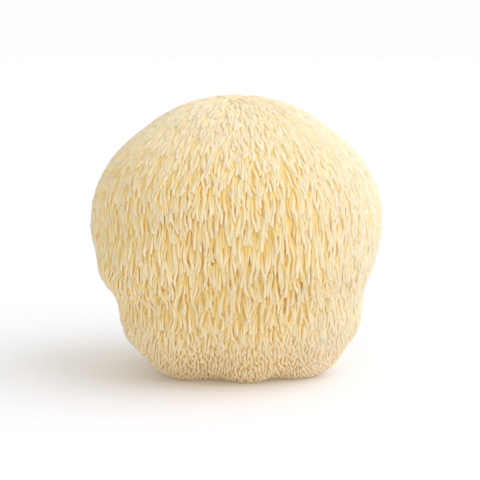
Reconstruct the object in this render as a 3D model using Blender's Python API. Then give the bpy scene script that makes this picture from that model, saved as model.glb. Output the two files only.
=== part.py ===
"""Lion's mane mushroom (Hericium erinaceus): one picked fruiting body, standing on the flat face
where it was cut from its log.

The fruiting body grows as one piece, so it is one solid. The solid's surface lies at the tips of
the spines: a broad upper dome whose rim overhangs a narrower lower mass, and a ring of small lobes
around the cut. The spines themselves are too fine to be solids.

Frame: +Z up, the front at -Y, origin at the middle of the cut face, which lies at Z = 0.
"""

import bmesh
import bpy
from mathutils import Matrix, Vector

MM = 0.001

# Driving dimensions.
WIDTH = 110 * MM  # across the dome, along X
DEPTH = 105 * MM  # front to back, along Y
HEIGHT = 104.5 * MM  # from the cut face to the crown

# The lobes are placed in shares of the half width, the half depth and the height.
HALF = Vector((WIDTH / 2, DEPTH / 2, HEIGHT))

# How finely the lobes are merged, how far their creases are softened, and how fine the solid is.
MERGE_CELL = 1.6 * MM
CREASE_PASSES = 9
SURFACE_CELL = 4.0 * MM
SURFACE_PASSES = 2

# A lobe is an ellipsoid: its centre as (across, back, up), then its half sizes in the same shares.
# Across and back run from -1 to 1 over the width and the depth, and up from 0 to 1.
UPPER_LOBES = {
    "dome": ((0.00, 0.00, 0.548), (1.00, 0.98, 0.428)),
    "crown": ((0.00, 0.00, 0.696), (0.78, 0.78, 0.304)),
    "left_shoulder": ((-0.26, -0.20, 0.575), (0.61, 0.70, 0.325)),
    "right_shoulder": ((0.24, 0.16, 0.575), (0.61, 0.70, 0.325)),
    "left_rim": ((-0.37, -0.30, 0.430), (0.57, 0.62, 0.180)),
    "front_rim": ((0.18, -0.36, 0.450), (0.62, 0.60, 0.210)),
    "right_rim": ((0.42, -0.08, 0.435), (0.53, 0.70, 0.205)),
    "back_rim": ((-0.12, 0.36, 0.430), (0.66, 0.60, 0.200)),
}
LOWER_LOBES = {
    "trunk": ((0.025, 0.00, 0.320), (0.85, 0.84, 0.340)),
    "lower_left": ((-0.35, -0.28, 0.245), (0.45, 0.48, 0.200)),
    "lower_right": ((0.40, -0.14, 0.245), (0.47, 0.52, 0.215)),
    "lower_back": ((0.14, 0.36, 0.240), (0.50, 0.48, 0.210)),
    "lower_back_left": ((-0.34, 0.26, 0.250), (0.44, 0.48, 0.210)),
}
FOOT_LOBES = {
    "front_foot": ((0.07, -0.30, 0.110), (0.25, 0.28, 0.130)),
    "left_foot": ((-0.30, -0.18, 0.130), (0.36, 0.34, 0.152)),
    "right_foot": ((0.38, -0.12, 0.125), (0.37, 0.36, 0.148)),
    "back_foot": ((0.18, 0.26, 0.125), (0.36, 0.34, 0.145)),
    "back_left_foot": ((-0.24, 0.22, 0.125), (0.34, 0.34, 0.145)),
}


def clear_scene():
    for obj in list(bpy.data.objects):
        bpy.data.objects.remove(obj)


def in_metres(shares):
    return Vector(share * half for share, half in zip(shares, HALF))


def add_lobe(mesh, centre, half_sizes):
    """Adds one ellipsoid to the bmesh."""
    stretch = Matrix.LocRotScale(in_metres(centre), None, in_metres(half_sizes))
    bmesh.ops.create_icosphere(mesh, subdivisions=4, radius=1, matrix=stretch)


def lobed_mass(name, lobes):
    """One object holding every lobe, still overlapping."""
    mesh = bmesh.new()
    for centre, half_sizes in lobes.values():
        add_lobe(mesh, centre, half_sizes)
    data = bpy.data.meshes.new(name)
    mesh.to_mesh(data)
    mesh.free()
    obj = bpy.data.objects.new(name, data)
    bpy.context.collection.objects.link(obj)
    return obj


def merge_and_soften(obj, cell, passes):
    """Merges what overlaps into one skin, then rounds its creases."""
    merge = obj.modifiers.new("merge lobes", "REMESH")
    merge.mode = "VOXEL"
    merge.voxel_size = cell
    soften = obj.modifiers.new("soften creases", "SMOOTH")
    soften.factor = 0.5
    soften.iterations = passes


def cut_flat_below_zero(obj):
    """Takes away what lies below the cut face."""
    mesh = bmesh.new()
    bmesh.ops.create_cube(mesh, size=1)
    data = bpy.data.meshes.new("cutting block")
    mesh.to_mesh(data)
    mesh.free()
    block = bpy.data.objects.new("cutting block", data)
    block.scale = (2 * WIDTH, 2 * DEPTH, HEIGHT)
    block.location.z = -HEIGHT / 2
    block.hide_render = True
    block.display_type = "WIRE"
    bpy.context.collection.objects.link(block)
    cut = obj.modifiers.new("cut from the log", "BOOLEAN")
    cut.operation = "DIFFERENCE"
    cut.solver = "EXACT"
    cut.object = block


def flesh_material():
    material = bpy.data.materials.new("cream flesh")
    material.use_nodes = True
    shader = material.node_tree.nodes["Principled BSDF"]
    shader.inputs["Base Color"].default_value = (0.87, 0.71, 0.42, 1)
    shader.inputs["Roughness"].default_value = 0.6
    shader.inputs["Metallic"].default_value = 0
    return material


def build():
    clear_scene()
    body = lobed_mass("fruiting_body", {**UPPER_LOBES, **LOWER_LOBES, **FOOT_LOBES})
    merge_and_soften(body, MERGE_CELL, CREASE_PASSES)
    merge_and_soften(body, SURFACE_CELL, SURFACE_PASSES)
    cut_flat_below_zero(body)
    body.data.materials.append(flesh_material())
    body.data.shade_smooth()


build()
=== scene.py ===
# %% [markdown]
# # Lion's mane mushroom
# A lion's mane (Hericium erinaceus) is one rounded mass of soft cream flesh. Thousands of thin
# spines grow out of it and hang down over each other like wet hair, so they hide the flesh nearly
# everywhere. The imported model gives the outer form, which lies at the tips of the spines. This
# lesson builds the flesh a little inside that form and then grows the spines on it.

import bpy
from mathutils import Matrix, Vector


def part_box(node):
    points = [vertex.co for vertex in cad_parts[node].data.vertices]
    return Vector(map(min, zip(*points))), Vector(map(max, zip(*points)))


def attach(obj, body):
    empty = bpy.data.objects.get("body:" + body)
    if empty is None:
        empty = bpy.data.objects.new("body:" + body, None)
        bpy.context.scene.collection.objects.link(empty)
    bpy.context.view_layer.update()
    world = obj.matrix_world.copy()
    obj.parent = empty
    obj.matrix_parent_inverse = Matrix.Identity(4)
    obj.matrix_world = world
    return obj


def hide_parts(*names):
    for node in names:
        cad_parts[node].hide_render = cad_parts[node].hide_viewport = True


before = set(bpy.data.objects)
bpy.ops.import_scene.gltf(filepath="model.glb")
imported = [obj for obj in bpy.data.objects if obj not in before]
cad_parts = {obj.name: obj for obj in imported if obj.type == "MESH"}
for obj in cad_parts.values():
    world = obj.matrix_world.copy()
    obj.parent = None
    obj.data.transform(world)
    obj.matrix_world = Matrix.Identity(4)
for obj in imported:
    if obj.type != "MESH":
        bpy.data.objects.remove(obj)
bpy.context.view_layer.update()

# %% What the lesson uses
import math

import bpy
import numpy as np
from mathutils import Vector
from mathutils.bvhtree import BVHTree

MM = 0.001
HEAD_LOW, HEAD_HIGH = (Vector(corner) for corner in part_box("fruiting_body"))
print("head", [round(1000 * size, 1) for size in HEAD_HIGH - HEAD_LOW], "mm")

# %% [markdown]
# ## Camera
# The mushroom stands a little below eye level, so the camera looks down at it by eight degrees. A
# long lens from half a metre away keeps the rounded sides from bulging. An aim is easiest to state
# as a target point, and Blender can turn the direction to it into a rotation.

# %% A helper that aims an object, and the camera
CAMERA_TILT = math.radians(8)
CAMERA_DISTANCE = 0.5
CAMERA_TARGET = Vector((0.0013, 0, 0.0498))
CAMERA_LENS = 100
SENSOR_WIDTH = 36


def aim(place, target):
    """The rotation that points a camera or a light from one place to another."""
    return (target - place).to_track_quat("-Z", "Y").to_euler()


def deselect():
    bpy.ops.object.select_all(action="DESELECT")


deselect()
towards_camera = Vector((0, -math.cos(CAMERA_TILT), math.sin(CAMERA_TILT)))
camera_place = CAMERA_TARGET + CAMERA_DISTANCE * towards_camera
bpy.ops.object.camera_add(location=camera_place, rotation=aim(camera_place, CAMERA_TARGET))
camera = bpy.context.object
camera.name = "camera"
camera.data.lens = CAMERA_LENS
camera.data.sensor_width = SENSOR_WIDTH
bpy.context.scene.camera = camera
print("camera at", [round(value, 3) for value in camera.location])

# %% [markdown]
# ## Shader maths
# A material is a network of nodes, and a line such as `deep * 0.5 + grain` is easier to read than
# three Math nodes and their links. So one small class wraps a node's output and turns Python's
# operators into Math nodes. Any other node comes from one method, which takes the node's type, its
# settings, and what goes into its sockets.

# %% The class that writes shader maths
class Wire:
    """One output of a node, which can be added to, multiplied and so on."""

    def __init__(self, graph, socket):
        self.graph = graph
        self.socket = socket

    def maths(self, operation, first, second):
        return self.graph.node("ShaderNodeMath", {"operation": operation}, {0: first, 1: second})

    def __add__(self, other):
        return self.maths("ADD", self, other)

    def __sub__(self, other):
        return self.maths("SUBTRACT", self, other)

    def __rsub__(self, other):
        return self.maths("SUBTRACT", other, self)

    def __mul__(self, other):
        return self.maths("MULTIPLY", self, other)


class Graph:
    """A material's node tree."""

    def __init__(self, name):
        self.material = bpy.data.materials.new(name)
        self.material.use_nodes = True
        self.tree = self.material.node_tree
        self.shader = self.tree.nodes["Principled BSDF"]

    def feed(self, node, inputs):
        for key, value in inputs.items():
            if isinstance(value, Wire):
                self.tree.links.new(value.socket, node.inputs[key])
            else:
                node.inputs[key].default_value = value

    def node(self, kind, settings=None, inputs=None, output=0):
        """Adds a node. A colour ramp's stops are given as the setting "stops"."""
        node = self.tree.nodes.new(kind)
        for key, value in (settings or {}).items():
            if key == "stops":
                ramp = node.color_ramp
                while len(ramp.elements) < len(value):
                    ramp.elements.new(0.5)
                for element, (position, colour) in zip(ramp.elements, value):
                    element.position = position
                    element.color = colour
            else:
                setattr(node, key, value)
        self.feed(node, inputs or {})
        return Wire(self, node.outputs[output])

    def surface(self, **sockets):
        """Sets the main shader's sockets, written with _ for a space."""
        self.feed(self.shader, {key.replace("_", " "): value for key, value in sockets.items()})
        return self.material


# %% [markdown]
# ## Floor and light
# The mushroom stands on a plain white table in a white room. The light is soft and comes from all
# around, but most of it from the upper right, so the right side is the palest and a faint shadow
# falls to the left. Such light is easiest to get from a sky whose strength grows towards one
# direction, together with one very wide sun on the same side. The table's white is very slightly
# cool, which balances the warm sky, and the table glows very faintly, which keeps its shadow pale.
# Cream flesh passes light on many times before it goes dark, so the light may bounce ten times,
# which keeps the gaps between the spines golden.

# %% The floor
FLOOR_SIZE = 60
FLOOR_COLOUR = (0.89, 0.92, 0.96, 1)
FLOOR_GLOW = 0.08

deselect()
bpy.ops.mesh.primitive_plane_add(size=FLOOR_SIZE, location=(0, 0, 0))
floor = bpy.context.object
floor.name = "floor"
table_white = Graph("white table").surface(
    Base_Color=FLOOR_COLOUR,
    Emission_Color=(1, 1, 1, 1),
    Emission_Strength=FLOOR_GLOW,
    Roughness=0.9,
    Specular_IOR_Level=0.1,
)
floor.data.materials.append(table_white)
print("floor", FLOOR_SIZE, "m across")

# %% The sun and the sky
SKY_STRENGTH = 0.44
SKY_GAIN = 0.69
SKY_BRIGHTEST = Vector((0.60, -0.30, 0.80))
SKY_DARK_SIDE = -0.3
SKY_COLOUR = (0.99, 0.955, 0.91, 1)
SUN_STRENGTH = 0.90
SUN_COLOUR = (0.97, 0.975, 1.18)
SUN_SPREAD = math.radians(60)
SUN_PLACE = Vector((0.80, -0.25, 0.78))
ROOM_WHITE = 0.98
BOUNCES = 10

bpy.ops.object.light_add(type="SUN", location=SUN_PLACE, rotation=aim(SUN_PLACE, Vector()))
sun = bpy.context.object
sun.name = "soft_sun"
sun.data.energy = SUN_STRENGTH
sun.data.color = SUN_COLOUR
sun.data.angle = SUN_SPREAD

world = bpy.data.worlds.new("white room")
bpy.context.scene.world = world
world.use_nodes = True
room = world.node_tree
where = room.nodes.new("ShaderNodeTexCoord")
facing = room.nodes.new("ShaderNodeVectorMath")
facing.operation = "DOT_PRODUCT"
facing.inputs[1].default_value = SKY_BRIGHTEST.normalized()
room.links.new(where.outputs["Generated"], facing.inputs[0])
glow = room.nodes.new("ShaderNodeMapRange")
glow.inputs["From Min"].default_value = SKY_DARK_SIDE
glow.inputs["From Max"].default_value = 1
glow.inputs["To Min"].default_value = SKY_STRENGTH
glow.inputs["To Max"].default_value = SKY_STRENGTH + SKY_GAIN
room.links.new(facing.outputs["Value"], glow.inputs["Value"])
sky = room.nodes["Background"]
sky.inputs["Color"].default_value = SKY_COLOUR
room.links.new(glow.outputs["Result"], sky.inputs["Strength"])
seen = room.nodes.new("ShaderNodeBackground")
seen.inputs["Color"].default_value = (1, 1, 1, 1)
seen.inputs["Strength"].default_value = ROOM_WHITE
path = room.nodes.new("ShaderNodeLightPath")
choose = room.nodes.new("ShaderNodeMixShader")
room.links.new(path.outputs["Is Camera Ray"], choose.inputs["Fac"])
room.links.new(sky.outputs["Background"], choose.inputs[1])
room.links.new(seen.outputs["Background"], choose.inputs[2])
room.links.new(choose.outputs["Shader"], room.nodes["World Output"].inputs["Surface"])

bpy.context.scene.view_settings.view_transform = "Standard"
bpy.context.scene.cycles.diffuse_bounces = BOUNCES
print("sky from", SKY_STRENGTH, "to", round(SKY_STRENGTH + SKY_GAIN, 2), "and a sun of", SUN_STRENGTH)

# %% [markdown]
# ## The outer skin
# The spines lie along the outer form, so they need it as a smooth guide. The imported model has
# flat facets about four millimetres across. A copy of it is merged into one surface, remeshed to
# small even cells, and smoothed. It is only a guide, so it is deleted once the spines have grown.

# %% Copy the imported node, merge it and smooth it
SKIN_CELL = 1.3 * MM
SKIN_PASSES = 10
JOIN_DISTANCE = 0.01 * MM


def merged_copy(node, name):
    """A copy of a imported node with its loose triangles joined."""
    copy = node.copy()
    copy.data = node.data.copy()
    copy.name = name
    copy.data.name = name
    copy.parent = None
    bpy.context.collection.objects.link(copy)
    deselect()
    copy.select_set(True)
    bpy.context.view_layer.objects.active = copy
    bpy.ops.object.mode_set(mode="EDIT")
    bpy.ops.mesh.select_all(action="SELECT")
    bpy.ops.mesh.remove_doubles(threshold=JOIN_DISTANCE)
    bpy.ops.object.mode_set(mode="OBJECT")
    return copy


def finish_with(obj, kind, **settings):
    """Adds a modifier with these settings and applies it."""
    modifier = obj.modifiers.new(kind.lower(), kind)
    for key, value in settings.items():
        setattr(modifier, key, value)
    deselect()
    obj.select_set(True)
    bpy.context.view_layer.objects.active = obj
    bpy.ops.object.modifier_apply(modifier=modifier.name)


skin = merged_copy(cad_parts["fruiting_body"], "skin_guide")
finish_with(skin, "REMESH", mode="VOXEL", voxel_size=SKIN_CELL)
finish_with(skin, "SMOOTH", factor=0.5, iterations=SKIN_PASSES)
print("skin guide", len(skin.data.polygons), "faces")

# %% [markdown]
# ## The flesh
# The firm flesh is the same form, between half a millimetre and 1.65 millimetres inside the outer
# one. It shows only as golden shadow between the spines. The Displace modifier moves each point
# along its normal, which is just what growing inwards means. A vertex group tells it how far,
# because the spines stand out less on the crown, on both flanks and near the cut. Displace lifts
# the cut face too, so that face is extruded back down to the table, a little narrower than before,
# and the smallest nubs hide its rim.

# %% Shape the flesh
FLESH_DEPTH = 1.65 * MM
DEPTH_HEIGHTS = np.array((0, 10, 22, 40, 60, 92)) * MM
DEPTH_SHARES = (0.72, 0.88, 1.00, 1.00, 0.83, 0.45)
FLANK_FROM = 0.32
FLANK_TO = 0.78
LEFT_SHALLOW = 0.22
RIGHT_SHALLOW = 0.32


def flank(points):
    """0 on the front and the back, 1 on the left and right flanks."""
    share = np.abs(points[:, 0]) / HEAD_HIGH.x
    return np.clip((share - FLANK_FROM) / (FLANK_TO - FLANK_FROM), 0, 1)


def depth_share(points):
    """How deep the flesh lies, as a share of its full depth."""
    shallow = np.where(points[:, 0] < 0, LEFT_SHALLOW, RIGHT_SHALLOW) * flank(points)
    return np.interp(points[:, 2], DEPTH_HEIGHTS, DEPTH_SHARES) * (1 - shallow)


deselect()
skin.select_set(True)
bpy.context.view_layer.objects.active = skin
bpy.ops.object.duplicate()
flesh = bpy.context.object
flesh.name = "flesh"
flesh.data.name = "flesh"
points = np.array([vertex.co for vertex in flesh.data.vertices])
depth_group = flesh.vertex_groups.new(name="depth")
for index, share in enumerate(depth_share(points)):
    depth_group.add([index], share, "REPLACE")
finish_with(
    flesh,
    "DISPLACE",
    direction="NORMAL",
    mid_level=0,
    strength=-FLESH_DEPTH,
    vertex_group=depth_group.name,
)
print("flesh moved in by up to", round(1000 * FLESH_DEPTH, 2), "mm")

# %% Bring the cut face back down to the table
FOOT_INSET = 0.90
CUT_FACE_DEEP = 0.5 * MM

foot_top = min(vertex.co.z for vertex in flesh.data.vertices) + CUT_FACE_DEEP
for vertex in flesh.data.vertices:
    vertex.select = vertex.co.z < foot_top
for edge in flesh.data.edges:
    edge.select = all(flesh.data.vertices[index].select for index in edge.vertices)
for polygon in flesh.data.polygons:
    polygon.select = all(flesh.data.vertices[index].select for index in polygon.vertices)
bpy.ops.object.mode_set(mode="EDIT")
bpy.ops.mesh.extrude_region_move(TRANSFORM_OT_translate={"value": (0, 0, -FLESH_DEPTH / 2)})
bpy.ops.transform.resize(value=(FOOT_INSET, FOOT_INSET, 0), center_override=(0, 0, 0))
bpy.ops.object.mode_set(mode="OBJECT")
flesh.data.shade_smooth()
print("flesh", len(flesh.data.polygons), "faces")

# %% [markdown]
# ## One spine
# Every spine has the same form: a round stalk of nearly even thickness with a blunt tip. It is
# modelled once, as by hand: a five-sided disc, extruded ring by ring and resized at each step, with
# the last ring merged into the tip. The rings lie closer together near the tip, where the form
# turns fastest. A second, lighter one with fewer rings serves for the short spines near the cut,
# which saves faces.

# %% Model the two spines
SPINE_LENGTH = 12 * MM
SPINE_RADIUS = 0.65 * MM
SPINE_SIDES = 5
LONG_RINGS = (
    (0, 0.85), (0.15, 0.96), (0.31, 1.00), (0.47, 1.00),
    (0.63, 0.97), (0.78, 0.90), (0.90, 0.80), (0.97, 0.56),
)
SHORT_RINGS = ((0, 0.90), (0.36, 1.00), (0.70, 0.93), (0.91, 0.66))


def model_spine(name, rings):
    """One straight spine along Z. A ring is its shares of the full length and of the full radius."""
    deselect()
    bpy.ops.mesh.primitive_circle_add(
        vertices=SPINE_SIDES, radius=SPINE_RADIUS * rings[0][1], fill_type="NGON"
    )
    spine = bpy.context.object
    spine.name = name
    bpy.ops.object.mode_set(mode="EDIT")
    bpy.ops.mesh.select_all(action="SELECT")
    for (low, wide), (high, narrow) in zip(rings, rings[1:]):
        step = (high - low) * SPINE_LENGTH
        bpy.ops.mesh.extrude_region_move(TRANSFORM_OT_translate={"value": (0, 0, step)})
        bpy.ops.transform.resize(value=(narrow / wide, narrow / wide, 1))
    step = (1 - rings[-1][0]) * SPINE_LENGTH
    bpy.ops.mesh.extrude_region_move(TRANSFORM_OT_translate={"value": (0, 0, step)})
    bpy.ops.mesh.merge(type="CENTER")
    bpy.ops.mesh.select_all(action="SELECT")
    bpy.ops.mesh.normals_make_consistent(inside=False)
    bpy.ops.object.mode_set(mode="OBJECT")
    return spine


long_spine = model_spine("long_spine", LONG_RINGS)
short_spine = model_spine("short_spine", SHORT_RINGS)
print("spines have", len(long_spine.data.polygons), "and", len(short_spine.data.polygons), "faces")

# %% [markdown]
# ## How spines lie
# A spine grows out of the flesh and then gives in to gravity, so it runs down the skin. Near the
# crown that means outwards in all directions, like hair from a parting. Lower down, the spines on
# the front and the back fall straight like a curtain, even where the skin leans to one side. A
# slow sideways drift makes neighbours part and meet again, which leaves long narrow gaps between
# them.

# %% Find points on the skin
TINY = 1e-12  # keeps a division from meeting zero
CORNER_BLEND = 0.05 * MM
SKIN_POINTS = np.array([vertex.co for vertex in skin.data.vertices])
SKIN_NORMALS = np.array([vertex.normal for vertex in skin.data.vertices])
SKIN_FACES = [tuple(polygon.vertices) for polygon in skin.data.polygons]
SKIN_TREE = BVHTree.FromPolygons([Vector(point) for point in SKIN_POINTS], SKIN_FACES)


def unit(vectors):
    return vectors / np.maximum(np.linalg.norm(vectors, axis=-1, keepdims=True), TINY)


def on_skin(points):
    """The nearest places on the skin, and the smooth normals there."""
    places = np.empty_like(points)
    corners = np.empty((len(points), 4), dtype=int)
    for row, point in enumerate(points):
        place, _, face, _ = SKIN_TREE.find_nearest(Vector(point))
        places[row] = place
        face_corners = SKIN_FACES[face]
        corners[row] = (face_corners * 2)[:4]
    distances = np.linalg.norm(SKIN_POINTS[corners] - places[:, None], axis=2)
    shares = 1 / (distances + CORNER_BLEND)
    return places, unit((SKIN_NORMALS[corners] * shares[..., None]).sum(axis=1))


print("skin guide has", len(SKIN_POINTS), "points")

# %% Which way a spine hangs
SEED = 11
FULL_TURN = 2 * np.pi
DRIFT_COUNT = 16
DRIFT_ACROSS_MM = (4.5, 9)
DRIFT_UP_MM = (10, 20)
DRIFT_TURN = 0.12
PARTING = 0.25
CURTAIN_BELOW = 80 * MM
CURTAIN_FADE = 25 * MM
CURTAIN_EDGE = 4
LEAST_SIDEWAYS = 0.1

chance = np.random.default_rng(SEED)
drift_across = chance.uniform(*DRIFT_ACROSS_MM, DRIFT_COUNT) * MM
drift_up = chance.uniform(*DRIFT_UP_MM, DRIFT_COUNT) * MM
drift_angles = chance.uniform(0, FULL_TURN, DRIFT_COUNT)
drift_waves = FULL_TURN * np.stack(
    (np.cos(drift_angles) / drift_across, np.sin(drift_angles) / drift_across, 1 / drift_up), axis=1
)
drift_phases = chance.uniform(0, FULL_TURN, DRIFT_COUNT)


def drift(points):
    """A slow wave over the whole head, about -1 to 1."""
    return np.sin(points @ drift_waves.T + drift_phases).sum(axis=1) / math.sqrt(DRIFT_COUNT / 2)


def hang(points, normals, stray=0):
    """The direction down the skin, turned a little by the drift and by the spine's own stray angle."""
    outwards = unit(points * (1, 1, 0))
    pull = np.array((0, 0, -1.0)) + PARTING * outwards
    down = pull - normals * (pull * normals).sum(axis=1, keepdims=True)
    across_share = normals[:, 0:1]
    sideways = np.array((1.0, 0, 0)) - normals * across_share
    curtain = np.clip((CURTAIN_BELOW - points[:, 2:3]) / CURTAIN_FADE, 0, 1)
    curtain = curtain * np.clip(CURTAIN_EDGE * normals[:, 1:2] ** 2, 0, 1)
    sideways_squared = np.maximum(1 - across_share ** 2, LEAST_SIDEWAYS)
    down = unit(down - curtain * down[:, 0:1] / sideways_squared * sideways)
    across = np.cross(normals, down)
    turn = (DRIFT_TURN * drift(points) + stray)[:, None]
    return down * np.cos(turn) + across * np.sin(turn)


print("drift waves", [round(1000 * value, 1) for value in sorted(drift_across)], "mm across")

# %% [markdown]
# ## Where spines grow
# On the front and the back the spines are long and set well apart. Near the crown they are shorter
# and a little thicker, and on the two flanks they are shorter, finer and closer together. Towards
# the cut they shrink until they are only small nubs. The spines of one layer lie head to tail: each
# needs about a millimetre and a half sideways, and most of its own length downwards. So places are
# tried in a random order, and each one that is kept clears an ellipse around it. Five such layers
# lie over each other, every one set a little deeper, so that the gaps of one are filled by the tips
# of the next.

# %% Room by height
HEIGHTS = np.array((0, 6, 14, 24, 38, 60, 80, 93, 105)) * MM
ROOM_ACROSS = np.array((0.98, 1.05, 1.25, 1.40, 1.52, 1.58, 1.52, 1.45, 1.38)) * MM
ROOM_ALONG = np.array((0.95, 1.05, 2.3, 4.6, 7.8, 9.0, 7.2, 5.4, 4.2)) * MM
FLANK_ROOM = 0.88
FLANK_ALONG = 0.76


def by_height(points, values):
    return np.interp(points[:, 2], HEIGHTS, values)


def by_flank(points, share):
    """1 on the front and the back, and the given share on the flanks."""
    return 1 - (1 - share) * flank(points)


print("room across, from the cut to the crown", [round(1000 * room, 2) for room in ROOM_ACROSS], "mm")

# %% Choose the places
LAYER_TRIES = (60000, 35000, 35000, 35000, 25000)
LOWEST_ROOT = 0.35 * MM
NUB_HEIGHT = 14 * MM


def random_places(count):
    """Places spread evenly over the skin, leaving out the cut face."""
    skin.data.calc_loop_triangles()
    triangles = np.array([triangle.vertices for triangle in skin.data.loop_triangles])
    corners = SKIN_POINTS[triangles]
    edges = corners[:, 1:] - corners[:, :1]
    areas = np.linalg.norm(np.cross(edges[:, 0], edges[:, 1]), axis=1)
    chosen = chance.choice(len(triangles), count, p=areas / areas.sum())
    shares = chance.dirichlet((1, 1, 1), count)
    places = (corners[chosen] * shares[..., None]).sum(axis=1)
    return places[places[:, 2] > LOWEST_ROOT]


def with_room(tried):
    """The places, out of those tried in this order, that keep clear of each other."""
    tried, normals = on_skin(tried)
    down = hang(tried, normals)
    sideways = np.cross(normals, down)
    room_across = by_height(tried, ROOM_ACROSS) * by_flank(tried, FLANK_ROOM)
    room_along = by_height(tried, ROOM_ALONG) * by_flank(tried, FLANK_ALONG)
    free = np.ones(len(tried), dtype=bool)
    kept = []
    for index in range(len(tried)):
        if free[index]:
            kept.append(index)
            near = np.nonzero(np.abs(tried[:, 2] - tried[index, 2]) < room_along[index])[0]
            near = near[free[near]]
            offset = tried[near] - tried[index]
            across = offset @ sideways[index] / room_across[index]
            along = offset @ down[index] / room_along[index]
            above = offset @ normals[index] / room_along[index]
            free[near[across ** 2 + along ** 2 + above ** 2 < 1]] = False
    return tried[kept]


layers = [with_room(random_places(tries)) for tries in LAYER_TRIES]
layers[1:] = [layer[layer[:, 2] > NUB_HEIGHT] for layer in layers[1:]]
roots = np.concatenate(layers)
layer_of = np.repeat(np.arange(len(layers)), [len(layer) for layer in layers])
print("spines that find room in each layer:", [len(layer) for layer in layers])

# %% [markdown]
# ## Growing the spines
# Each spine is a path of a few steps. A step goes on in the spine's own direction, turned towards
# the direction down the skin at that place. Where the skin falls away faster than the spine can
# turn, as under the overhanging rim, it hangs free for a little. A spine starts below the flesh,
# comes up to the outer form, and dips again at its tip, as if it were pressed down by its wet
# neighbours. Deeper layers keep lower all the way, by less where the flesh itself lies shallow. No
# two spines lie quite alike: each winds a little from side to side, rises and falls a little on
# its way, and ends with its tip slightly lifted or pressed down.

# %% Each spine's own length, thickness and depth
LENGTHS = np.array((1.6, 2.0, 3.8, 6.5, 10.5, 12.0, 9.5, 7.5, 6.5)) * MM
FLANK_LENGTH = 0.74
LENGTH_VARIES = (0.78, 1.22)
GIRTHS = np.array((0.72, 0.72, 0.76, 0.88, 0.98, 1.00, 1.05, 1.10, 1.12))
FLANK_GIRTH = 0.92
GIRTH_VARIES = (0.88, 1.12)
LAYER_DEPTHS = np.array((0, 0.30, 0.56, 0.78, 0.96)) * MM
DEPTH_VARIES_MM = (0, 0.32)

count = len(roots)
lengths = by_height(roots, LENGTHS) * by_flank(roots, FLANK_LENGTH)
lengths = lengths * chance.uniform(*LENGTH_VARIES, count)
girths = by_height(roots, GIRTHS) * by_flank(roots, FLANK_GIRTH)
girths = girths * chance.uniform(*GIRTH_VARIES, count)
sink = LAYER_DEPTHS[layer_of] + chance.uniform(*DEPTH_VARIES_MM, count) * MM
sink = sink * depth_share(roots) ** 2
print(count, "spines, longest", round(1000 * lengths.max(), 1), "mm")

# %% Walk every spine down the skin
RINGS = len(LONG_RINGS) + 1
STIFFNESS = 0.45
FREE_HANG = 2.5 * MM
STRAY = 0.12
CROWN_STRAY = 1.2
CROWN_REACH = 7 * MM
CROWN_HEIGHT = 90 * MM

steps = lengths / (RINGS - 1)
path_places = np.empty((count, RINGS, 3))
path_normals = np.empty((count, RINGS, 3))
place, normal = on_skin(roots)
from_crown = np.linalg.norm(roots[:, :2], axis=1) + np.clip(CROWN_HEIGHT - roots[:, 2], 0, 1)
stray = chance.normal(size=count) * (STRAY + CROWN_STRAY * np.exp(-((from_crown / CROWN_REACH) ** 2)))
heading = hang(place, normal, stray)
for ring in range(RINGS):
    if ring:
        guess = path_places[:, ring - 1] + heading * steps[:, None]
        place, normal = on_skin(guess)
        gap = np.clip(((guess - place) * normal).sum(axis=1), 0, FREE_HANG)
        place = place + normal * gap[:, None]
        heading = unit(STIFFNESS * heading + (1 - STIFFNESS) * hang(place, normal, stray))
    path_places[:, ring] = place
    path_normals[:, ring] = normal
print("walked", count, "spines in", RINGS - 1, "steps each")

# %% Raise each path out of the flesh
RISE_AT = (0, 0.15, 0.35, 0.6, 0.85, 1)
LONG_RISE = np.array((-1.9, -1.25, -0.95, -0.8, -0.72, -0.95)) * MM
NUB_RISE = np.array((-1.7, -1.2, -0.75, -0.4, -0.15, -0.1)) * MM
NUB_FADE = 7 * MM
NUB_SINK = 0.5
BURIED = 0.2 * MM

along = np.linspace(0, 1, RINGS)
nub = np.clip((NUB_HEIGHT - roots[:, 2:3]) / NUB_FADE, 0, 1)
long_rise = np.interp(along, RISE_AT, LONG_RISE)[None, :] - sink[:, None]
nub_rise = np.interp(along, RISE_AT, NUB_RISE)[None, :] - NUB_SINK * sink[:, None]
rise = long_rise * (1 - nub) + nub_rise * nub
rise = np.maximum(rise, -FLESH_DEPTH - BURIED)
print("paths lie", [round(-1000 * float(value), 2) for value in (rise.max(), rise.min())], "mm deep")

# %% Let each path wind, rise and fall
WAVES = np.array((0.1, 0.1, 0.15, 0.18, 0.20, 0.22, 0.32, 0.38, 0.40)) * MM
WAVE_LENGTH = 8.5 * MM
WAVE_COUNT_VARIES = (0.8, 1.3)
WAVE_SIZE_VARIES = (0.5, 1.4)
WAVE_MOST = 0.045
LIFT = 0.12 * MM
LIFT_PACE = 0.8
TIP_LIFT = 0.18 * MM
TIP_LIFT_VARIES = (-0.6, 1)
TIP_CURVE = 4
NUB_CALM = 0.6

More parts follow.
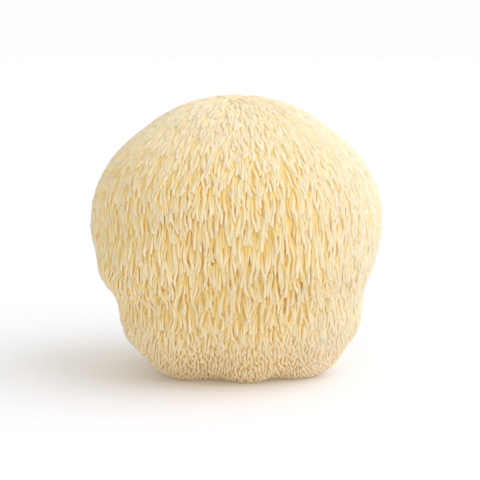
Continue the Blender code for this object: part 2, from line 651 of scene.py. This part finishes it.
across = unit(np.cross(path_normals, np.gradient(path_places, axis=1)))
wave_count = lengths / WAVE_LENGTH * chance.uniform(*WAVE_COUNT_VARIES, count)
wave_start = chance.uniform(0, FULL_TURN, count)
wave_size = np.minimum(by_height(roots, WAVES), lengths * WAVE_MOST)
wave_size = wave_size * chance.uniform(*WAVE_SIZE_VARIES, count)
wave = np.sin(FULL_TURN * wave_count[:, None] * along + wave_start[:, None])
wave = wave - np.sin(wave_start)[:, None]
lift_start = chance.uniform(0, FULL_TURN, count)
lift = LIFT * np.sin(FULL_TURN * LIFT_PACE * wave_count[:, None] * along + lift_start[:, None])
lift = lift + TIP_LIFT * along ** TIP_CURVE * chance.uniform(*TIP_LIFT_VARIES, count)[:, None]
rise = rise + lift * (1 - NUB_CALM * nub)
paths = path_places + path_normals * rise[..., None] + across * (wave * wave_size[:, None])[..., None]
print("sideways waves up to", round(1000 * wave_size.max(), 2), "mm")

# %% [markdown]
# ## Tips that meet
# Wet spines cling together at their tips, which makes small V shapes with a gap above and below.
# Some spines are picked as leaders, and each other spine bends towards the nearest leader, more
# the closer to its tip. It stops when the two touch.

# %% Gather the tips
LEADER_SHARE = 0.5
CLING = 0.30
CLING_REACH = 2.6 * MM
CLING_FROM = 0.3
CLING_CURVE = 1.5
TOUCHING = 0.85

leads = chance.random(count) < LEADER_SHARE
leaders = np.nonzero(leads)[0]
middles = paths[:, RINGS // 2]
pull = CLING * np.clip((along - CLING_FROM) / (1 - CLING_FROM), 0, 1)[:, None] ** CLING_CURVE
for index in np.nonzero(~leads)[0]:
    distances = np.linalg.norm(middles[leaders] - middles[index], axis=1)
    nearest = distances.argmin()
    if distances[nearest] > CLING_REACH:
        continue
    leader = leaders[nearest]
    offset = paths[leader] - paths[index]
    distance = np.linalg.norm(offset, axis=1, keepdims=True)
    touching = TOUCHING * (girths[leader] + girths[index]) * SPINE_RADIUS
    paths[index] += offset / np.maximum(distance, TINY) * np.maximum(distance - touching, 0) * pull
print(len(leaders), "leaders")

# %% [markdown]
# ## From paths to meshes
# One modelled spine is copied along each path. Every point of the copy keeps its place in its
# ring, and the ring is moved and turned to the path. Doing this for all the spines at once with
# arrays takes a second, where thousands of separate objects would take minutes. The spines are
# joined into one piece for each zone of the head. Every piece also gets a UV map for its colours.
# Across the map run twenty-four columns, one for each tone, and within a column how far round the
# spine a point lies, from its underside to its outer ridge, which places the painted shade
# underneath. Up the map runs the length, from the root to the tip, moved up where the spines are
# paler: on the crown and the flanks, as painted light, and near the cut. It is moved down on deeper
# layers, as painted shade.

# %% Bend a spine along many paths
TABLE_GAP = 0.05 * MM


def bent_copies(points, levels, ring_of_point, chosen):
    """Where the spine's points go when one copy of it is bent along each chosen path."""
    where = levels * (RINGS - 1)
    low = np.minimum(where.astype(int), RINGS - 2)
    share = (where - low)[None, :, None]
    lines = paths[chosen][:, low] * (1 - share) + paths[chosen][:, low + 1] * share
    facing = path_normals[chosen][:, low] * (1 - share) + path_normals[chosen][:, low + 1] * share
    forward = unit(np.gradient(lines, axis=1))
    side = unit(np.cross(facing, forward))
    up = np.cross(forward, side)
    size = girths[chosen][:, None, None]
    body = (
        lines[:, ring_of_point]
        + side[:, ring_of_point] * points[None, :, 0:1] * size
        + up[:, ring_of_point] * points[None, :, 1:2] * size
    )
    body[..., 2] = np.maximum(body[..., 2], TABLE_GAP)
    return body


print("nothing of a spine comes closer to the table than", round(1000 * TABLE_GAP, 2), "mm")

# %% Lay out the UV map
UV_NAME = "OFBake"
TONES = 24
UNDERSIDE_AT = 0.12
RIDGE_AT = 0.82
SIDES_APART = 0.05
UV_MARGIN = 0.02
# Painted shade: each deeper layer of spines is coloured a little darker and more golden.
LAYER_SHADE = 0.09
# How pale the spines are by height: painted light on the crown, where the light is strongest, and paler
# near the cut.
PALE_AND_LIGHT_BY_HEIGHT = np.array((0.5, 0.5, 0.42, 0.2, 0.0, 0.0, 0.15, 0.5, 0.7))
# Painted light: the spines on the flanks are coloured paler, a little on the left and much more on the
# right, where the light falls.
LEFT_LIGHT = 0.10
RIGHT_LIGHT = 0.75
PALE_EVEN = 0.5
PALE_MOST = 0.85


def spine_uv(points, corners, heights, chosen):
    """Each corner's place on the map: tone and side across it, share of the length up it, with painted
    light and shade.
    """
    side_light = np.where(roots[chosen, 0] < 0, LEFT_LIGHT, RIGHT_LIGHT) * flank(roots[chosen])
    pale = np.minimum(by_height(roots[chosen], PALE_AND_LIGHT_BY_HEIGHT) + side_light, PALE_MOST)[:, None]
    ridge = 0.5 + 0.5 * points[:, 1] / np.abs(points[:, 1]).max()
    # Painted shade: a spine's underside and sides are coloured darker and more golden than its outer
    # ridge, less so where it is pale.
    round_shade = (1 - ridge[corners])[None, :] * (1 - PALE_EVEN * pale)
    within = UNDERSIDE_AT + (RIDGE_AT - UNDERSIDE_AT) * (1 - round_shade)
    within = within + SIDES_APART * np.sign(points[corners, 0])[None, :]
    column = (tone_and_light_columns[chosen][:, None] + within) / TONES
    share = heights[corners][None, :] * (1 - 2 * UV_MARGIN) + UV_MARGIN
    share = pale + (1 - pale) * share - LAYER_SHADE * layer_of[chosen][:, None]
    share = np.clip(share, UV_MARGIN / 2, 1 - UV_MARGIN / 2)
    return np.stack((column, share), axis=2).reshape(-1)


print(TONES, "columns across the map, one for each tone")

# %% Join the copies into one mesh
HEIGHT_DIGITS = 4


def grow_piece(name, spine, chosen):
    """Joins a copy of the spine along each chosen path into one piece."""
    points = np.array([vertex.co for vertex in spine.data.vertices])
    faces = [list(polygon.vertices) for polygon in spine.data.polygons]
    heights = np.round(points[:, 2] / SPINE_LENGTH, HEIGHT_DIGITS)
    levels, ring_of_point = np.unique(heights, return_inverse=True)
    body = bent_copies(points, levels, ring_of_point, chosen)
    shift = len(points)
    all_faces = [
        [corner + copy * shift for corner in face] for copy in range(len(chosen)) for face in faces
    ]
    data = bpy.data.meshes.new(name)
    data.from_pydata(body.reshape(-1, 3), [], all_faces)
    corners = np.array([corner for face in faces for corner in face])
    uv = spine_uv(points, corners, heights, chosen)
    data.uv_layers.new(name=UV_NAME).data.foreach_set("uv", uv)
    data.shade_smooth()
    piece = bpy.data.objects.new(name, data)
    bpy.context.collection.objects.link(piece)
    return piece


# %% Make the pieces
# A spine's tone by height, plus a random spread: painted light and shade, brightest on the crown and
# darkest a little above the cut.
TONE_AND_LIGHT_BY_HEIGHT = np.array((0.62, 0.58, 0.52, 0.50, 0.55, 0.65, 0.75, 0.85, 0.85))
TONE_SPREAD = 0.13
ZONES = {
    "crown_spines": (90 * MM, 1.0, long_spine),
    "shoulder_spines": (74 * MM, 90 * MM, long_spine),
    "side_spines": (56 * MM, 74 * MM, long_spine),
    "rim_spines": (40 * MM, 56 * MM, long_spine),
    "skirt_spines": (30 * MM, 40 * MM, long_spine),
    "lower_spines": (19 * MM, 30 * MM, long_spine),
    "foot_spines": (10 * MM, 19 * MM, short_spine),
    "foot_nubs": (-1.0, 10 * MM, short_spine),
}

tone_and_light_share = by_height(roots, TONE_AND_LIGHT_BY_HEIGHT) + chance.uniform(-TONE_SPREAD, TONE_SPREAD, count)
tone_and_light_columns = np.clip(tone_and_light_share * TONES, 0, TONES - 1).astype(int)
pieces = {}
for name, (lowest, highest, spine) in ZONES.items():
    chosen = np.nonzero((roots[:, 2] >= lowest) & (roots[:, 2] < highest))[0]
    pieces[name] = grow_piece(name, spine, chosen)
    triangles = sum(len(polygon.vertices) - 2 for polygon in pieces[name].data.polygons)
    print(name, len(chosen), "spines,", triangles, "triangles")

for guide in (skin, long_spine, short_spine):
    bpy.data.objects.remove(guide)

# %% [markdown]
# ## Materials
# Fresh flesh is soft and lets light in, so both materials have some subsurface scattering, with
# red going farthest, which warms the gaps. A spine is golden at its root and underneath, and cream
# at its tip and along its outer ridge. The gold at the root is partly the spine's own colour and
# partly painted shade; the gold underneath, and on the deeper layers, is painted shade for the
# gaps between the spines. Each spine has one of twenty-four slightly different tones, which are
# also painted light and shade by height: brightest on the crown, darkest a little above the cut.
# The spines are painted paler on the crown and on the flanks, most on the right, where the light
# falls most, and they are paler near the cut. The material reads all of that from the UV map. The
# flesh under them has fine streaks that run downwards, as though more spines lay below. Its deep
# ochre is partly painted shade for the gaps, and it is painted paler on the crown and on the right
# flank, where the light falls most, and paler near the cut.

# %% Spine material
# From golden at the root and underneath to cream at the tip: the root's gold is partly the spine's own
# colour and partly painted shade for the gaps.
SPINE_COLOURS = (
    (0.00, (0.98, 0.72, 0.28, 1)),
    (0.25, (0.99, 0.78, 0.40, 1)),
    (0.50, (0.99, 0.83, 0.54, 1)),
    (0.80, (0.98, 0.87, 0.65, 1)),
    (1.00, (0.97, 0.89, 0.71, 1)),
)
SCATTER_RADIUS = (1.0, 0.9, 0.7)
# How much darker and more golden the underside of a spine is painted, as shade for the gaps.
SIDE_SHADE = 0.85
TONE_LOW = 0.84
TONE_RANGE = 0.18
TONE_SHIFT = 0.10

graph = Graph("spine cream")
uv = graph.node("ShaderNodeUVMap", {"uv_map": UV_NAME})
column = graph.node("ShaderNodeSeparateXYZ", inputs={0: uv}, output=0) * TONES
length = graph.node("ShaderNodeSeparateXYZ", inputs={0: uv}, output=1)
tone = graph.node("ShaderNodeMath", {"operation": "FLOOR"}, {0: column}) * (1 / TONES)
ridge = graph.node("ShaderNodeMath", {"operation": "FRACT"}, {0: column})
shade = length + (tone - 0.5) * TONE_SHIFT - (1 - ridge) * SIDE_SHADE
ramp = graph.node("ShaderNodeValToRGB", {"stops": SPINE_COLOURS}, {"Fac": shade})
# Brightness follows the tone: random for each spine, and painted light and shade by height.
brightness = tone * TONE_RANGE + TONE_LOW
colour = graph.node("ShaderNodeHueSaturation", inputs={"Color": ramp, "Value": brightness})
spine_cream = graph.surface(
    Base_Color=colour,
    Roughness=0.55,
    Subsurface_Weight=0.3,
    Subsurface_Radius=SCATTER_RADIUS,
    Subsurface_Scale=0.4 * MM,
    Specular_IOR_Level=0.2,
)
for piece in pieces.values():
    piece.data.materials.append(spine_cream)
print("spine material on", len(pieces), "pieces")

# %% Flesh material
# The flesh's deep ochre is partly painted shade for the gaps between the spines.
FLESH_COLOURS = (
    (0.00, (0.93, 0.67, 0.25, 1)),
    (0.45, (0.95, 0.74, 0.36, 1)),
    (1.00, (0.97, 0.84, 0.58, 1)),
)
STREAK_SCALE = 430
STREAK_STRETCH = (1, 1, 0.16)
STREAK_DEPTH = 0.5 * MM
STREAK_EDGES = (0.35, 0.65)
# Painted light: the flesh is coloured paler on the right flank and on the crown, where the light falls
# most.
RIGHT_LIGHT_EDGES = (15 * MM, 45 * MM)
CROWN_LIGHT_EDGES = (70 * MM, 98 * MM)
FOOT_EDGES = (26 * MM, 8 * MM)
STREAK_WEIGHT = 0.45
PAINTED_LIGHT_WEIGHT = 0.6
FOOT_WEIGHT = 0.5
FOOT_DARKER = 0.04

graph = Graph("flesh ochre")
place = graph.node("ShaderNodeTexCoord", output="Object")
sideways = graph.node("ShaderNodeSeparateXYZ", inputs={0: place}, output=0)
upwards = graph.node("ShaderNodeSeparateXYZ", inputs={0: place}, output=2)


def fade(value, low, high):
    """0 below the low value and 1 above the high one, or the other way round if they are swapped."""
    return graph.node("ShaderNodeMapRange", inputs={"Value": value, "From Min": low, "From Max": high})


stretched = graph.node("ShaderNodeVectorMath", {"operation": "MULTIPLY"}, {0: place, 1: STREAK_STRETCH})
noise_inputs = {"Vector": stretched, "Scale": STREAK_SCALE, "Detail": 1}
streak = fade(graph.node("ShaderNodeTexNoise", inputs=noise_inputs), *STREAK_EDGES)
# Painted light on the right flank and on the crown.
right_light = fade(sideways, *RIGHT_LIGHT_EDGES)
crown_light = fade(upwards, *CROWN_LIGHT_EDGES)
foot_share = fade(upwards, *FOOT_EDGES)
painted_light = graph.node("ShaderNodeMath", {"operation": "MAXIMUM"}, {0: right_light, 1: crown_light})
tone = streak * STREAK_WEIGHT + painted_light * PAINTED_LIGHT_WEIGHT + foot_share * FOOT_WEIGHT
ochre = graph.node("ShaderNodeValToRGB", {"stops": FLESH_COLOURS}, {"Fac": tone})
darker = 1 - foot_share * FOOT_DARKER
ochre = graph.node("ShaderNodeHueSaturation", inputs={"Color": ochre, "Value": darker})
bump_inputs = {"Height": streak, "Strength": 0.8, "Distance": STREAK_DEPTH}
bump = graph.node("ShaderNodeBump", inputs=bump_inputs)
flesh_ochre = graph.surface(
    Base_Color=ochre,
    Roughness=0.7,
    Subsurface_Weight=0.6,
    Subsurface_Radius=(1.0, 0.7, 0.35),
    Subsurface_Scale=1.5 * MM,
    Specular_IOR_Level=0.25,
    Normal=bump,
)
flesh.data.materials.clear()
flesh.data.materials.append(flesh_ochre)
print("flesh material set")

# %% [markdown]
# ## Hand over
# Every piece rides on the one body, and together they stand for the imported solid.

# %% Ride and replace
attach(flesh, "root")
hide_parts("fruiting_body")
for piece in pieces.values():
    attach(piece, "root")
    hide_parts("fruiting_body")
print("handed over", 1 + len(pieces), "pieces")
